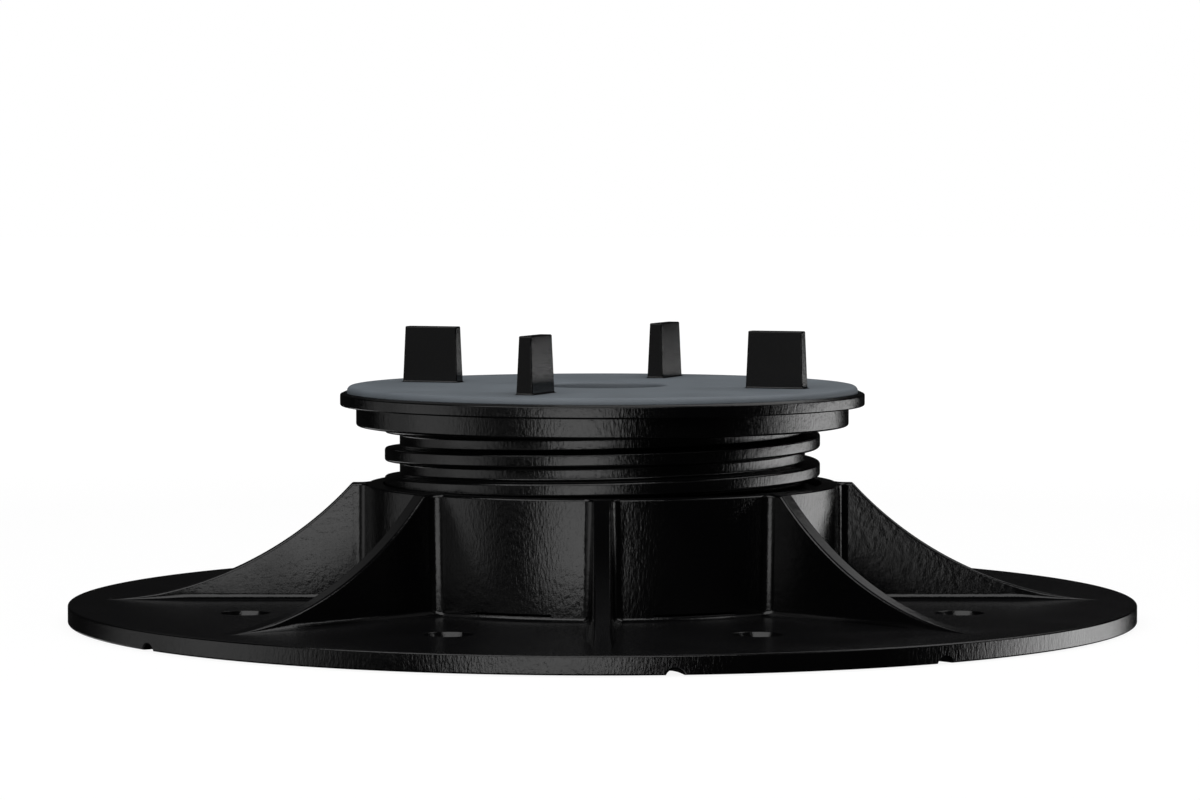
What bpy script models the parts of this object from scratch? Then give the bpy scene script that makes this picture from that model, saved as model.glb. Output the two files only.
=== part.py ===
"""Height-adjustable decking pedestal: a ribbed foot with a threaded collar, a screw sleeve, and a tile-carrying
cap with its rubber pad. The origin is the centre of the foot's underside, and +Z is up."""

import math

import bmesh
import bpy
from mathutils import Matrix, Vector

MM = 0.001

# Running fits
SEAT_GAP = 0.3 * MM
THREAD_GAP = 0.35 * MM

# Thread, right-hand and single-start
THREAD_PITCH = 5.28 * MM
THREAD_DEPTH = 2.8 * MM
THREAD_CREST_WIDTH = 2.6 * MM
THREAD_FLANK_DRAFT = 0.12 * MM
THREAD_CREST_HEIGHT_AT_X = 33.49 * MM
THREAD_RUN_OUT_DEGREES = 30.0
NUT_THREAD_TURNS = 3.0
NUT_THREAD_TOP_INSET = 1.2 * MM

# Foot plate
PLATE_RADIUS = 100.0 * MM
PLATE_THICKNESS = 3.4 * MM
PLATE_TOP_ROUND = 0.5 * MM
PLATE_BOTTOM_CHAMFER = 0.3 * MM

# Collar, with a thin floor inside it that has a drain hole
COLLAR_TOP_HEIGHT = 25.4 * MM
COLLAR_WALL = 3.0 * MM
FOOT_FILLET = 0.8 * MM
FLOOR_THICKNESS = 1.4 * MM
FLOOR_HOLE_RADIUS = 12.0 * MM

# Buttress ribs
RIB_COUNT = 8
RIB_THICKNESS = 3.1 * MM
RIB_SHOULDER = 2.8 * MM
RIB_TOE_INSET = 7.5 * MM
RIB_CURVE_RADIUS = 68.0 * MM
RIB_ROOT_FILLET = 2.0 * MM

# Screw holes between the ribs
HOLE_RING_RADIUS = 70.5 * MM
HOLE_SHANK_RADIUS = 3.0 * MM
HOLE_HEAD_RADIUS = 4.5 * MM
HOLE_HEAD_DEPTH = 1.6 * MM

# Thin drain slots at the collar's foot, one in each bay
SLOT_WIDTH = 16.0 * MM
SLOT_HEIGHT = 0.6 * MM

# Drainage notches in the rim's underside, each with one straight across the plate from it. They run out
# towards the middle, because they are cut at a tilt.
NOTCH_DEGREES = (-143.0, -83.0, -54.0)
NOTCH_WIDTH = 3.2 * MM
NOTCH_HEIGHT = 1.1 * MM
NOTCH_LENGTH = 12.0 * MM
NOTCH_TILT_DEGREES = 9.0

# Screw sleeve
SCREW_CREST_RADIUS = 40.85 * MM
SCREW_WALL = 2.2 * MM
SCREW_LENGTH = 27.4 * MM
SCREW_LIP_WIDTH = 1.4 * MM
SCREW_LIP_HEIGHT = 1.8 * MM

# Cap
CAP_RISE = 10.85 * MM
SKIRT_CLEARANCE = 2.75 * MM
SKIRT_HEIGHT = 3.8 * MM
SKIRT_WALL = 2.6 * MM
FLANGE_OVERHANG = 3.0 * MM
FLANGE_SIDE_HEIGHT = 2.1 * MM
FLANGE_CHAMFER_HEIGHT = 0.8 * MM
FLANGE_CHAMFER_WIDTH = 1.05 * MM
DECK_THICKNESS = 1.7 * MM
CENTRE_HOLE_RADIUS = 11.9 * MM

# Hub ring and stiffening ribs under the cap's deck
HUB_WALL = 2.0 * MM
HUB_DEPTH = 3.0 * MM
DECK_RIB_COUNT = 8
DECK_RIB_THICKNESS = 1.6 * MM
DECK_RIB_DEPTH = 2.4 * MM

# Snap hooks that hold the cap on the screw's lip
HOOK_COUNT = 4
HOOK_SPAN = 14.0 * MM
HOOK_THICKNESS = 1.8 * MM
HOOK_BARB = 1.05 * MM
HOOK_BARB_HEIGHT = 1.8 * MM

# Rubber pad
PAD_THICKNESS = 1.8 * MM
PAD_PROUD = 0.75 * MM
PAD_SIDE_GAP = 0.25 * MM
PAD_EDGE_ROUND = 0.7 * MM

# Tile spacer lugs
LUG_COUNT = 4
LUG_FIRST_DEGREES = -20.6
LUG_RING_RADIUS = 34.45 * MM
LUG_HEIGHT = 10.6 * MM
LUG_FOOT_LENGTH = 11.1 * MM
LUG_FOOT_THICKNESS = 3.2 * MM
LUG_TOP_LENGTH = 10.4 * MM
LUG_TOP_THICKNESS = 2.4 * MM
LUG_EDGE_ROUND = 0.25 * MM

# Facets
PLATE_STEPS = 96
CAP_STEPS = 80
THREAD_STEPS = 56
SMALL_STEPS = 16
HUB_STEPS = 40
ARC_SEGMENTS = 2
RIB_CURVE_SEGMENTS = 10
SMOOTH_BELOW_DEGREES = 30.0

# How far joined shapes reach into each other, and cutters past a face
OVERLAP = 1.0 * MM
# How far a tapered thread's end stays under the wall that it grows from
RUN_OUT_DEPTH = 0.1 * MM
MERGE_DISTANCE = 0.01 * MM

# Colours and surfaces
BLACK = (0.006, 0.006, 0.0065)
GREY = (0.14, 0.16, 0.18)
PLASTIC_ROUGHNESS = 0.42
RUBBER_ROUGHNESS = 0.75

# Radii that follow from the thread
SCREW_CORE_RADIUS = SCREW_CREST_RADIUS - THREAD_DEPTH
SCREW_BORE_RADIUS = SCREW_CORE_RADIUS - SCREW_WALL
NUT_ROOT_RADIUS = SCREW_CREST_RADIUS + THREAD_GAP
NUT_CREST_RADIUS = SCREW_CORE_RADIUS + THREAD_GAP
COLLAR_RADIUS = NUT_ROOT_RADIUS + COLLAR_WALL

# Heights that follow from one another, from the collar up
SKIRT_BOTTOM = COLLAR_TOP_HEIGHT + CAP_RISE
FLANGE_BOTTOM = SKIRT_BOTTOM + SKIRT_HEIGHT
RIM_TOP = FLANGE_BOTTOM + FLANGE_SIDE_HEIGHT + FLANGE_CHAMFER_HEIGHT
PAD_TOP = RIM_TOP + PAD_PROUD
PAD_BOTTOM = PAD_TOP - PAD_THICKNESS
DECK_TOP = PAD_BOTTOM - SEAT_GAP
DECK_BOTTOM = DECK_TOP - DECK_THICKNESS
SCREW_TOP = DECK_BOTTOM - SEAT_GAP
SCREW_BOTTOM = SCREW_TOP - SCREW_LENGTH
LIP_BOTTOM = SCREW_TOP - SCREW_LIP_HEIGHT

# Radii on the cap, whose skirt clears the screw's thread
SKIRT_RADIUS = SCREW_CREST_RADIUS + SKIRT_CLEARANCE + SKIRT_WALL
FLANGE_RADIUS = SKIRT_RADIUS + FLANGE_OVERHANG
LIP_RADIUS = SCREW_BORE_RADIUS - SCREW_LIP_WIDTH
RECESS_RADIUS = FLANGE_RADIUS - FLANGE_CHAMFER_WIDTH
PAD_RADIUS = RECESS_RADIUS - PAD_SIDE_GAP
HUB_RADIUS = CENTRE_HOLE_RADIUS + HUB_WALL
HOOK_RADIUS = LIP_RADIUS - SEAT_GAP
HOOK_INNER_RADIUS = HOOK_RADIUS - HOOK_THICKNESS


def new_collection(name):
    collection = bpy.data.collections.new(name)
    bpy.context.scene.collection.children.link(collection)
    return collection


def moulded(name, colour, roughness):
    """A plain moulded plastic or rubber."""
    material = bpy.data.materials.new(name)
    material.use_nodes = True
    shader = material.node_tree.nodes["Principled BSDF"]
    shader.inputs["Base Color"].default_value = (*colour, 1.0)
    shader.inputs["Roughness"].default_value = roughness
    shader.inputs["Metallic"].default_value = 0.0
    return material


def new_object(name, bm, collection):
    """Puts a bmesh into an object of its own, with its faces turned outward."""
    bmesh.ops.recalc_face_normals(bm, faces=bm.faces)
    mesh = bpy.data.meshes.new(name)
    bm.to_mesh(mesh)
    bm.free()
    obj = bpy.data.objects.new(name, mesh)
    collection.objects.link(obj)
    return obj


def helper(obj):
    """Marks an object as a cutter or a joined shape, which is not a piece by itself."""
    obj.hide_render = True
    obj.display_type = "WIRE"
    return obj


def arc(centre, radius, first, last, segments=ARC_SEGMENTS):
    """Points on an arc in a plane, from the first to the last angle in degrees."""
    angles = [math.radians(first + (last - first) * i / segments) for i in range(segments + 1)]
    return [(centre[0] + radius * math.cos(a), centre[1] + radius * math.sin(a)) for a in angles]


def turned(name, outline, steps, collection, closed=True):
    """A solid of revolution from a (radius, height) outline that runs down its outer side. A closed outline
    makes a ring, and an open one starts and ends on the axis."""
    bm = bmesh.new()
    points = [bm.verts.new((radius, 0.0, height)) for radius, height in outline]
    ends = points[1:] + points[:1] if closed else points[1:]
    for a, b in zip(points, ends):
        bm.edges.new((a, b))
    mesh = bpy.data.meshes.new(name)
    bm.to_mesh(mesh)
    bm.free()
    obj = bpy.data.objects.new(name, mesh)
    collection.objects.link(obj)
    turn = obj.modifiers.new("Turn", "SCREW")
    turn.steps = turn.render_steps = steps
    turn.use_merge_vertices = True
    turn.merge_threshold = MERGE_DISTANCE
    return obj


def add_prism(bm, outline, place, depth):
    """Adds a flat outline, pushed along +Z by depth and then moved by a matrix."""
    face = bm.faces.new([bm.verts.new((x, y, 0.0)) for x, y in outline])
    pushed = bmesh.ops.extrude_face_region(bm, geom=[face])["geom"]
    top = [item for item in pushed if isinstance(item, bmesh.types.BMVert)]
    bmesh.ops.translate(bm, vec=(0.0, 0.0, depth), verts=top)
    bmesh.ops.transform(bm, matrix=place, verts=[*face.verts, *top])


def add_box(bm, size, place):
    """Adds a box of full size (x, y, z) centred on the matrix's own origin."""
    bmesh.ops.create_cube(bm, size=1.0, matrix=place @ Matrix.Diagonal((*size, 1.0)))


def around(count, first=0.0):
    """Matrices that turn about +Z, evenly spaced from a first angle in degrees."""
    return [Matrix.Rotation(math.radians(first + 360.0 * i / count), 4, "Z") for i in range(count)]


def boolean(obj, operation, other):
    step = obj.modifiers.new(other.name, "BOOLEAN")
    step.operation = operation
    step.solver = "EXACT"
    step.object = helper(other)


def applied(obj):
    """Replaces an object's mesh with what its modifiers make of it."""
    bpy.context.view_layer.update()
    graph = bpy.context.evaluated_depsgraph_get()
    mesh = bpy.data.meshes.new_from_object(obj.evaluated_get(graph))
    obj.modifiers.clear()
    obj.data = mesh
    return obj


def repeated(name, obj, turns, collection):
    """Turned copies of an object's mesh, as one helper object."""
    bm = bmesh.new()
    for turn in turns:
        copy = bmesh.new()
        copy.from_mesh(applied(obj).data)
        bmesh.ops.transform(copy, matrix=turn @ obj.matrix_world, verts=copy.verts)
        moved = bpy.data.meshes.new("moved copy")
        copy.to_mesh(moved)
        copy.free()
        bm.from_mesh(moved)
        bpy.data.meshes.remove(moved)
    bpy.data.objects.remove(obj)
    return new_object(name, bm, collection)


def finish(obj, material):
    """Rounds the shading of a finished piece and gives it its material."""
    applied(obj)
    obj.data.shade_smooth()
    obj.data.set_sharp_from_angle(angle=math.radians(SMOOTH_BELOW_DEGREES))
    obj.data.materials.clear()
    obj.data.materials.append(material)


def crest_height(degrees):
    """Height of the middle of the screw's thread at an angle about +Z."""
    return THREAD_CREST_HEIGHT_AT_X + THREAD_PITCH * degrees / 360.0


def ridge(name, wall, crest, crest_width, root_width, lowest, turns, offset, collection):
    """A helical ridge with tapered ends. It grows from the wall radius to the crest radius, and its root
    reaches OVERLAP into the wall. The offset is its height above the screw's own crest line. Its sections
    stand half a facet away from the wall's corners."""
    inward = math.copysign(1.0, crest - wall)
    root = wall - inward * OVERLAP
    step = 360.0 / THREAD_STEPS
    first = math.ceil((lowest - offset - crest_height(0.0)) / THREAD_PITCH * THREAD_STEPS)
    count = round(turns * THREAD_STEPS)
    bm = bmesh.new()
    rings = []
    for i in range(count + 1):
        degrees = (first + i + 0.5) * step
        from_end = min(i, count - i) * step
        growth = min(1.0, from_end / THREAD_RUN_OUT_DEGREES)
        top = wall + (crest - wall) * growth - inward * RUN_OUT_DEPTH * (1.0 - growth)
        turn = Matrix.Rotation(math.radians(degrees), 4, "Z")
        middle = crest_height(degrees) + offset
        section = (
            (root, -root_width / 2),
            (top, -crest_width / 2),
            (top, crest_width / 2),
            (root, root_width / 2),
        )
        rings.append([bm.verts.new(turn @ Vector((r, 0.0, middle + z))) for r, z in section])
    for a, b in zip(rings, rings[1:]):
        for j in range(4):
            k = (j + 1) % 4
            bm.faces.new((a[j], a[k], b[k], b[j]))
    bm.faces.new(rings[0])
    bm.faces.new(rings[-1])
    return new_object(name, bm, collection)


def rib_curve():
    """The rib's hollow edge in (radius, height), from the shoulder down past the toe."""
    start = Vector((COLLAR_RADIUS + RIB_SHOULDER, COLLAR_TOP_HEIGHT))
    end = Vector((PLATE_RADIUS - RIB_TOE_INSET, PLATE_THICKNESS))
    chord = end - start
    upward = Vector((-chord.y, chord.x)).normalized()
    centre = (start + end) / 2 + upward * math.sqrt(RIB_CURVE_RADIUS**2 - chord.length_squared / 4)
    first = math.degrees(math.atan2(start.y - centre.y, start.x - centre.x))
    last = math.degrees(math.atan2(end.y - centre.y, end.x - centre.x))
    past = math.degrees(OVERLAP / RIB_CURVE_RADIUS)
    return arc(centre, RIB_CURVE_RADIUS, first, last + past, RIB_CURVE_SEGMENTS)


def rib_section():
    """Half of the rib's outline across its length, with the fillet on the plate, in (side, height)."""
    half = RIB_THICKNESS / 2
    corner = (half + FOOT_FILLET, PLATE_THICKNESS + FOOT_FILLET)
    fillet = arc(corner, FOOT_FILLET, 270.0, 180.0)
    top = COLLAR_TOP_HEIGHT + OVERLAP
    return [(half + FOOT_FILLET, PLATE_THICKNESS - OVERLAP), *fillet, (half, top)]


def rib_root():
    """Half of the flare where the rib grows out of the collar, seen from above, in (radius, side)."""
    half = RIB_THICKNESS / 2
    side = half + RIB_ROOT_FILLET
    reach = COLLAR_RADIUS + RIB_ROOT_FILLET
    centre = (math.sqrt(reach**2 - side**2), side)
    towards_axis = 180.0 + math.degrees(math.atan2(centre[1], centre[0]))
    fillet = arc(centre, RIB_ROOT_FILLET, towards_axis, 270.0, ARC_SEGMENTS + 1)
    return [(COLLAR_RADIUS - OVERLAP, fillet[0][1]), *fillet]


def make_ribs(helpers):
    """All the ribs, as one shape to join to the foot."""
    along = Matrix(((0, 0, 1, 0), (1, 0, 0, 0), (0, 1, 0, 0), (0, 0, 0, 1)))
    across = Matrix(((1, 0, 0, 0), (0, 0, -1, 0), (0, 1, 0, 0), (0, 0, 0, 1)))
    bottom = PLATE_THICKNESS - OVERLAP
    top = COLLAR_TOP_HEIGHT + OVERLAP

    half = rib_section()
    outline = half + [(-side, height) for side, height in reversed(half)]
    length = PLATE_RADIUS - RIB_TOE_INSET + OVERLAP / 2 - (COLLAR_RADIUS - OVERLAP)
    bm = bmesh.new()
    add_prism(bm, outline, Matrix.Translation((COLLAR_RADIUS - OVERLAP, 0, 0)) @ along, length)
    rib = new_object("rib", bm, helpers)

    half = rib_root()
    outline = half + [(radius, -side) for radius, side in reversed(half)]
    bm = bmesh.new()
    add_prism(bm, outline, Matrix.Translation((0, 0, bottom)), top - bottom)
    boolean(rib, "UNION", new_object("rib_root", bm, helpers))

    curve = rib_curve()
    above = top + OVERLAP
    outline = [(curve[0][0], above), *curve, (curve[-1][0], above)]
    width = 4 * (RIB_THICKNESS + RIB_ROOT_FILLET)
    bm = bmesh.new()
    add_prism(bm, outline, Matrix.Translation((0, width / 2, 0)) @ across, width)
    boolean(rib, "DIFFERENCE", new_object("rib_curve_cutter", bm, helpers))
    return repeated("ribs", rib, around(RIB_COUNT), helpers)


def make_base(parts, helpers):
    top = COLLAR_TOP_HEIGHT + OVERLAP
    collar_fillet = (COLLAR_RADIUS + FOOT_FILLET, PLATE_THICKNESS + FOOT_FILLET)
    rim_round = (PLATE_RADIUS - PLATE_TOP_ROUND, PLATE_THICKNESS - PLATE_TOP_ROUND)
    outline = [
        (COLLAR_RADIUS, top),
        *arc(collar_fillet, FOOT_FILLET, 180.0, 270.0),
        *arc(rim_round, PLATE_TOP_ROUND, 90.0, 0.0, 2),
        (PLATE_RADIUS, PLATE_BOTTOM_CHAMFER),
        (PLATE_RADIUS - PLATE_BOTTOM_CHAMFER, 0.0),
        (FLOOR_HOLE_RADIUS, 0.0),
        (FLOOR_HOLE_RADIUS, FLOOR_THICKNESS),
        (NUT_ROOT_RADIUS, FLOOR_THICKNESS),
        (NUT_ROOT_RADIUS, top),
    ]
    base = turned("base", outline, PLATE_STEPS, parts)

    groove = THREAD_PITCH - THREAD_CREST_WIDTH - 2 * THREAD_FLANK_DRAFT - 2 * THREAD_GAP
    height = NUT_THREAD_TURNS * THREAD_PITCH
    lowest = COLLAR_TOP_HEIGHT - NUT_THREAD_TOP_INSET - groove / 2 - height
    nut_thread = ridge(
        "nut_thread",
        NUT_ROOT_RADIUS,
        NUT_CREST_RADIUS,
        groove,
        groove + 2 * THREAD_FLANK_DRAFT,
        lowest,
        NUT_THREAD_TURNS,
        THREAD_PITCH / 2,
        helpers,
    )
    boolean(base, "UNION", nut_thread)
    boolean(base, "UNION", make_ribs(helpers))

    bm = bmesh.new()
    trim = Matrix.Translation((0, 0, COLLAR_TOP_HEIGHT + OVERLAP))
    add_box(bm, (2 * PLATE_RADIUS, 2 * PLATE_RADIUS, 2 * OVERLAP), trim)
    boolean(base, "DIFFERENCE", new_object("collar_top_trim", bm, helpers))

    outline = [
        (0.0, PLATE_THICKNESS + OVERLAP),
        (HOLE_HEAD_RADIUS, PLATE_THICKNESS + OVERLAP),
        (HOLE_HEAD_RADIUS, PLATE_THICKNESS - HOLE_HEAD_DEPTH),
        (HOLE_SHANK_RADIUS, PLATE_THICKNESS - HOLE_HEAD_DEPTH),
        (HOLE_SHANK_RADIUS, -OVERLAP),
        (0.0, -OVERLAP),
    ]
    hole = turned("screw_hole", outline, SMALL_STEPS, helpers, closed=False)
    hole.location.x = HOLE_RING_RADIUS
    hole.rotation_euler.z = math.pi / SMALL_STEPS
    bays = around(RIB_COUNT, 180.0 / RIB_COUNT)
    boolean(base, "DIFFERENCE", repeated("screw_holes", hole, bays, helpers))

    reach = COLLAR_RADIUS + FOOT_FILLET + OVERLAP - SCREW_CORE_RADIUS
    middle = SCREW_CORE_RADIUS + reach / 2
    sill = PLATE_THICKNESS + FOOT_FILLET
    bm = bmesh.new()
    for bay in bays:
        place = bay @ Matrix.Translation((middle, 0, sill + SLOT_HEIGHT / 2))
        add_box(bm, (reach, SLOT_WIDTH, SLOT_HEIGHT), place)
    boolean(base, "DIFFERENCE", new_object("drain_slots", bm, helpers))

    radius = ((NOTCH_WIDTH / 2) ** 2 + NOTCH_HEIGHT**2) / (2 * NOTCH_HEIGHT)
    axis_height = NOTCH_HEIGHT - radius / math.cos(math.radians(NOTCH_TILT_DEGREES))
    at_rim = Matrix.Translation((PLATE_RADIUS, 0, axis_height))
    tilted = Matrix.Rotation(math.radians(90.0 - NOTCH_TILT_DEGREES), 4, "Y")
    inward = Matrix.Translation((0, 0, OVERLAP - NOTCH_LENGTH / 2))
    bm = bmesh.new()
    for degrees in NOTCH_DEGREES:
        for turn in around(2, degrees):
            place = turn @ at_rim @ tilted @ inward
            bmesh.ops.create_cone(
                bm,
                cap_ends=True,
                segments=SMALL_STEPS,
                radius1=radius,
                radius2=radius,
                depth=NOTCH_LENGTH,
                matrix=place,
            )
    boolean(base, "DIFFERENCE", new_object("rim_notches", bm, helpers))
    return base


def make_screw(parts, helpers):
    outline = [
        (SCREW_CORE_RADIUS, SCREW_TOP),
        (SCREW_CORE_RADIUS, SCREW_BOTTOM),
        (SCREW_BORE_RADIUS, SCREW_BOTTOM),
        (SCREW_BORE_RADIUS, LIP_BOTTOM),
        (LIP_RADIUS, LIP_BOTTOM),
        (LIP_RADIUS, SCREW_TOP),
    ]
    screw = turned("screw", outline, THREAD_STEPS, parts)
    root_width = THREAD_CREST_WIDTH + 2 * THREAD_FLANK_DRAFT
    margin = root_width / 2 + SEAT_GAP
    turns = (SCREW_LENGTH - 2 * margin) / THREAD_PITCH
    thread = ridge(
        "screw_thread",
        SCREW_CORE_RADIUS,
        SCREW_CREST_RADIUS,
        THREAD_CREST_WIDTH,
        root_width,
        SCREW_BOTTOM + margin,
        turns - 1.0 / THREAD_STEPS,
        0.0,
        helpers,
    )
    boolean(screw, "UNION", thread)
    return screw


def lug_size(height):
    """Length and thickness of a lug at a height above the pad's top."""
    share = height / LUG_HEIGHT
    length = LUG_FOOT_LENGTH + (LUG_TOP_LENGTH - LUG_FOOT_LENGTH) * share
    thickness = LUG_FOOT_THICKNESS + (LUG_TOP_THICKNESS - LUG_FOOT_THICKNESS) * share
    return length, thickness


def make_lug(helpers):
    """One tapered lug with softened edges, with its length along +X."""
    bottom = DECK_TOP - DECK_THICKNESS / 2
    top = PAD_TOP + LUG_HEIGHT
    bm = bmesh.new()
    place = Matrix.Translation((LUG_RING_RADIUS, 0, (bottom + top) / 2))
    add_box(bm, (1.0, 1.0, top - bottom), place)
    for vert in bm.verts:
        length, thickness = lug_size(vert.co.z - PAD_TOP)
        vert.co.x = LUG_RING_RADIUS + math.copysign(length / 2, vert.co.x - LUG_RING_RADIUS)
        vert.co.y = math.copysign(thickness / 2, vert.co.y)
    soft = [edge for edge in bm.edges if max(vert.co.z for vert in edge.verts) > DECK_TOP]
    bmesh.ops.bevel(bm, geom=soft, offset=LUG_EDGE_ROUND, segments=2, profile=0.5, affect="EDGES")
    return new_object("lug", bm, helpers)


def make_hooks(helpers):
    """The snap hooks: a barbed ring cut down to its sectors."""
    barb_top = LIP_BOTTOM - SEAT_GAP
    outline = [
        (HOOK_RADIUS, DECK_BOTTOM + OVERLAP / 2),
        (HOOK_RADIUS, barb_top),
        (HOOK_RADIUS + HOOK_BARB, barb_top),
        (HOOK_RADIUS, barb_top - HOOK_BARB_HEIGHT),
        (HOOK_INNER_RADIUS, barb_top - HOOK_BARB_HEIGHT),
        (HOOK_INNER_RADIUS, DECK_BOTTOM + OVERLAP / 2),
    ]
    ring = turned("hooks", outline, HUB_STEPS, helpers)
    reach = HOOK_RADIUS + HOOK_BARB + OVERLAP
    bm = bmesh.new()
    for turn in around(HOOK_COUNT, LUG_FIRST_DEGREES + 180.0 / HOOK_COUNT):
        place = turn @ Matrix.Translation((reach / 2 + HUB_RADIUS / 2, 0, LIP_BOTTOM))
        add_box(bm, (reach - HUB_RADIUS, HOOK_SPAN, 4 * HOOK_BARB_HEIGHT + 2 * SKIRT_HEIGHT), place)
    boolean(ring, "INTERSECT", new_object("hook_sectors", bm, helpers))
    return ring


def make_cap(parts, helpers):
    outline = [
        (RECESS_RADIUS, RIM_TOP),
        (FLANGE_RADIUS, RIM_TOP - FLANGE_CHAMFER_HEIGHT),
        (FLANGE_RADIUS, FLANGE_BOTTOM),
        (SKIRT_RADIUS, FLANGE_BOTTOM),
        (SKIRT_RADIUS, SKIRT_BOTTOM),
        (SKIRT_RADIUS - SKIRT_WALL, SKIRT_BOTTOM),
        (SKIRT_RADIUS - SKIRT_WALL, DECK_BOTTOM),
        (CENTRE_HOLE_RADIUS, DECK_BOTTOM),
        (CENTRE_HOLE_RADIUS, DECK_TOP),
        (RECESS_RADIUS, DECK_TOP),
    ]
    cap = turned("cap", outline, CAP_STEPS, parts)

    outline = [
        (HUB_RADIUS, DECK_BOTTOM + DECK_THICKNESS / 2),
        (HUB_RADIUS, DECK_BOTTOM - HUB_DEPTH),
        (CENTRE_HOLE_RADIUS + SEAT_GAP, DECK_BOTTOM - HUB_DEPTH),
        (CENTRE_HOLE_RADIUS + SEAT_GAP, DECK_BOTTOM + DECK_THICKNESS / 2),
    ]
    boolean(cap, "UNION", turned("hub_ring", outline, HUB_STEPS, helpers))

    inner = CENTRE_HOLE_RADIUS + HUB_WALL / 2
    length = HOOK_INNER_RADIUS + HOOK_THICKNESS / 2 - inner
    depth = DECK_RIB_DEPTH + DECK_THICKNESS / 2
    height = DECK_BOTTOM - DECK_RIB_DEPTH + depth / 2
    bm = bmesh.new()
    for turn in around(DECK_RIB_COUNT, LUG_FIRST_DEGREES):
        add_box(bm, (length, DECK_RIB_THICKNESS, depth), turn @ Matrix.Translation((inner + length / 2, 0, height)))
    boolean(cap, "UNION", new_object("deck_ribs", bm, helpers))
    boolean(cap, "UNION", make_hooks(helpers))
    boolean(cap, "UNION", repeated("lugs", make_lug(helpers), around(LUG_COUNT, LUG_FIRST_DEGREES), helpers))
    return cap


def make_pad(parts, helpers):
    edge = (PAD_RADIUS - PAD_EDGE_ROUND, PAD_TOP - PAD_EDGE_ROUND)
    outline = [
        *arc(edge, PAD_EDGE_ROUND, 90.0, 0.0, ARC_SEGMENTS + 1),
        (PAD_RADIUS, PAD_BOTTOM),
        (CENTRE_HOLE_RADIUS, PAD_BOTTOM),
        (CENTRE_HOLE_RADIUS, PAD_TOP),
    ]
    pad = turned("pad", outline, CAP_STEPS, parts)
    length, thickness = (size + 2 * SEAT_GAP for size in lug_size(DECK_TOP - PAD_TOP))
    bm = bmesh.new()
    for turn in around(LUG_COUNT, LUG_FIRST_DEGREES):
        place = turn @ Matrix.Translation((LUG_RING_RADIUS, 0, (PAD_TOP + PAD_BOTTOM) / 2))
        add_box(bm, (length, thickness, PAD_THICKNESS + 2 * OVERLAP), place)
    boolean(pad, "DIFFERENCE", new_object("lug_openings", bm, helpers))
    return pad


def main():
    for obj in list(bpy.data.objects):
        bpy.data.objects.remove(obj)
    parts = new_collection("decking_pedestal")
    helpers = new_collection("cutters_and_joined_shapes")
    finish(make_base(parts, helpers), moulded("foot_plastic", BLACK, PLASTIC_ROUGHNESS))
    finish(make_screw(parts, helpers), moulded("screw_plastic", BLACK, PLASTIC_ROUGHNESS))
    finish(make_cap(parts, helpers), moulded("cap_plastic", BLACK, PLASTIC_ROUGHNESS))
    finish(make_pad(parts, helpers), moulded("pad_rubber", GREY, RUBBER_ROUGHNESS))


main()
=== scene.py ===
"""Studio scene of the decking pedestal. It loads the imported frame, replaces each CAD node by a finer piece
with rounded edges, and sets the materials, camera, lights, floor and background. Shapes are drawn in
millimetres, and each piece is turned into metres when it is finished."""

import math

import bmesh
import bpy
from mathutils import Matrix, Vector


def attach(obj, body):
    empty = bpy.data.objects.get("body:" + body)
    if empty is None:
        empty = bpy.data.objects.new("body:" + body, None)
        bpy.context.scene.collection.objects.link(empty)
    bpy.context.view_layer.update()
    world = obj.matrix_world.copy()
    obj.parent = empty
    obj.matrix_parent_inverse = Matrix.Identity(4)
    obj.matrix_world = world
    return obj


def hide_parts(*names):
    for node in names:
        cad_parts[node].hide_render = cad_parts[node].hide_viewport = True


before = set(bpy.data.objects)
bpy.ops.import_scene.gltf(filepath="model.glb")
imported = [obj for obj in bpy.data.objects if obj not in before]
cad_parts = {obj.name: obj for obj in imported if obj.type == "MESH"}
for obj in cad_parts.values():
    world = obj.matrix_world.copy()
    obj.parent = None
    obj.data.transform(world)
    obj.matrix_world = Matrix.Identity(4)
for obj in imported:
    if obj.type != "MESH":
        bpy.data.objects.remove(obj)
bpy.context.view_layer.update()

METRES = 0.001

# Running fits, as in the CAD
SEAT_GAP = 0.3
THREAD_GAP = 0.35

# Thread, right-hand and single-start
THREAD_PITCH = 5.28
THREAD_DEPTH = 2.8
THREAD_CREST_WIDTH = 2.6
THREAD_FLANK_DRAFT = 0.12
THREAD_CREST_HEIGHT_AT_X = 33.49
THREAD_RUN_OUT_DEGREES = 30.0
THREAD_EDGE_ROUND = 0.55
NUT_THREAD_TURNS = 3.0
NUT_THREAD_TOP_INSET = 1.2
# Turns by which a threaded rod goes on past the heights that it has to cover
THREAD_MARGIN_TURNS = 1.5

# Foot plate
PLATE_RADIUS = 100.0
PLATE_THICKNESS = 3.4
PLATE_TOP_ROUND = 0.35
PLATE_BOTTOM_ROUND = 0.3
# Shares of the radius at which the plate's flat faces are split into rings
PLATE_RINGS = (0.6, 0.8)

# Collar, with a thin floor inside it that has a drain hole
COLLAR_TOP = 25.4
COLLAR_WALL = 3.0
COLLAR_EDGE_ROUND = 0.45
FOOT_FILLET = 0.8
FLOOR_THICKNESS = 1.4
FLOOR_HOLE_RADIUS = 12.0

# Buttress ribs
RIB_COUNT = 8
RIB_THICKNESS = 3.1
RIB_SHOULDER = 2.8
RIB_SHOULDER_ROUND = 0.6
RIB_TOE_INSET = 7.5
RIB_CURVE_RADIUS = 68.0
RIB_ROOT_FILLET = 2.0
RIB_FOOT_FILLET = 1.3
RIB_EDGE_ROUND = 0.5
RIB_DRAFT_DEGREES = 1.0
# Near the toe the foot's fillet and the edge's round are at most these shares of the rib's height
RIB_FOOT_SHARE = 0.5
RIB_EDGE_SHARE = 0.35

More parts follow.
